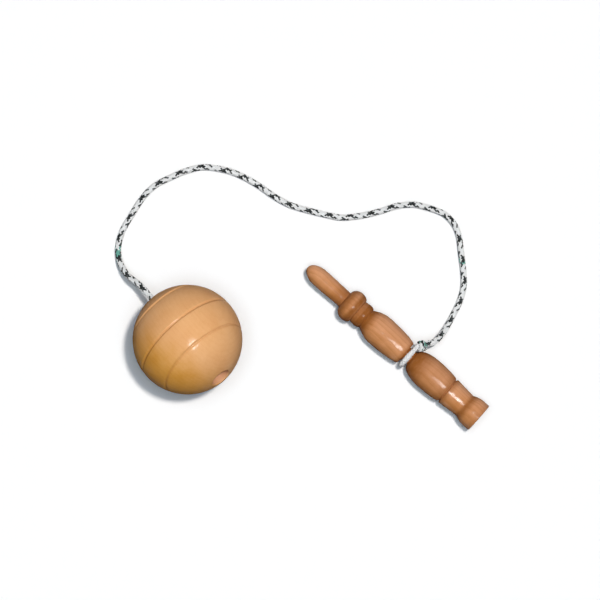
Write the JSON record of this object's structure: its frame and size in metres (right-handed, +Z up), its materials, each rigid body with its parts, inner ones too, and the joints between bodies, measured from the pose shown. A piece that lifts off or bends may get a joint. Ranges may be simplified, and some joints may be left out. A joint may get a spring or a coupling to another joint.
{
  "type": "cup and ball",
  "caption": "Wooden cup-and-ball toy: a turned ball with scored rings and a spike hole, tied by a flecked braided cord to a turned handle with a blunt catching spike.",
  "frame": {"origin": "on the surface that the ball and the handle lie on, below the middle of the box that holds the two of them", "axes": "+X along the handle from its spike to its foot, +Z up, +Y across the handle away from the ball"},
  "size_m": [0.2197, 0.176, 0.06],
  "materials": {
    "ball_wood": "glossy varnish over pale turned wood",
    "handle_wood": "glossy varnish over warm brown turned wood",
    "cord_braid": "white braid with dark and sea-green flecks"
  },
  "bodies": {
    "cord": {"cord_run": "cord_braid"},
    "ball_tie": {"cord_end": "cord_braid", "stop_knot": "cord_braid"},
    "ball": {"ball": "ball_wood"},
    "handle_tie": {"cord_loop": "cord_braid", "cord_hitch": "cord_braid"},
    "handle": {"handle": "handle_wood"}
  },
  "joints": [
    {"name": "ball_swing", "type": "hinge", "parent": "cord", "child": "ball_tie", "pos_m": [-0.09077, -0.02203, 0.01837], "axis": [0, 0, 1], "range_deg": [-45, 45]},
    {"name": "ball_spin", "type": "hinge", "parent": "ball_tie", "child": "ball", "pos_m": [-0.0591, -0.0262, 0.03], "axis": [0.9317, -0.1227, 0.342], "continuous": true},
    {"name": "handle_swing", "type": "hinge", "parent": "cord", "child": "handle_tie", "pos_m": [0.0377, 0.05552, 0.01586], "axis": [0, 0, 1], "range_deg": [-25, 35]},
    {"name": "handle_turn", "type": "hinge", "parent": "handle_tie", "child": "handle", "pos_m": [0.0377, 0.047, 0.0092], "axis": [1, 0, 0], "continuous": true}
  ]
}
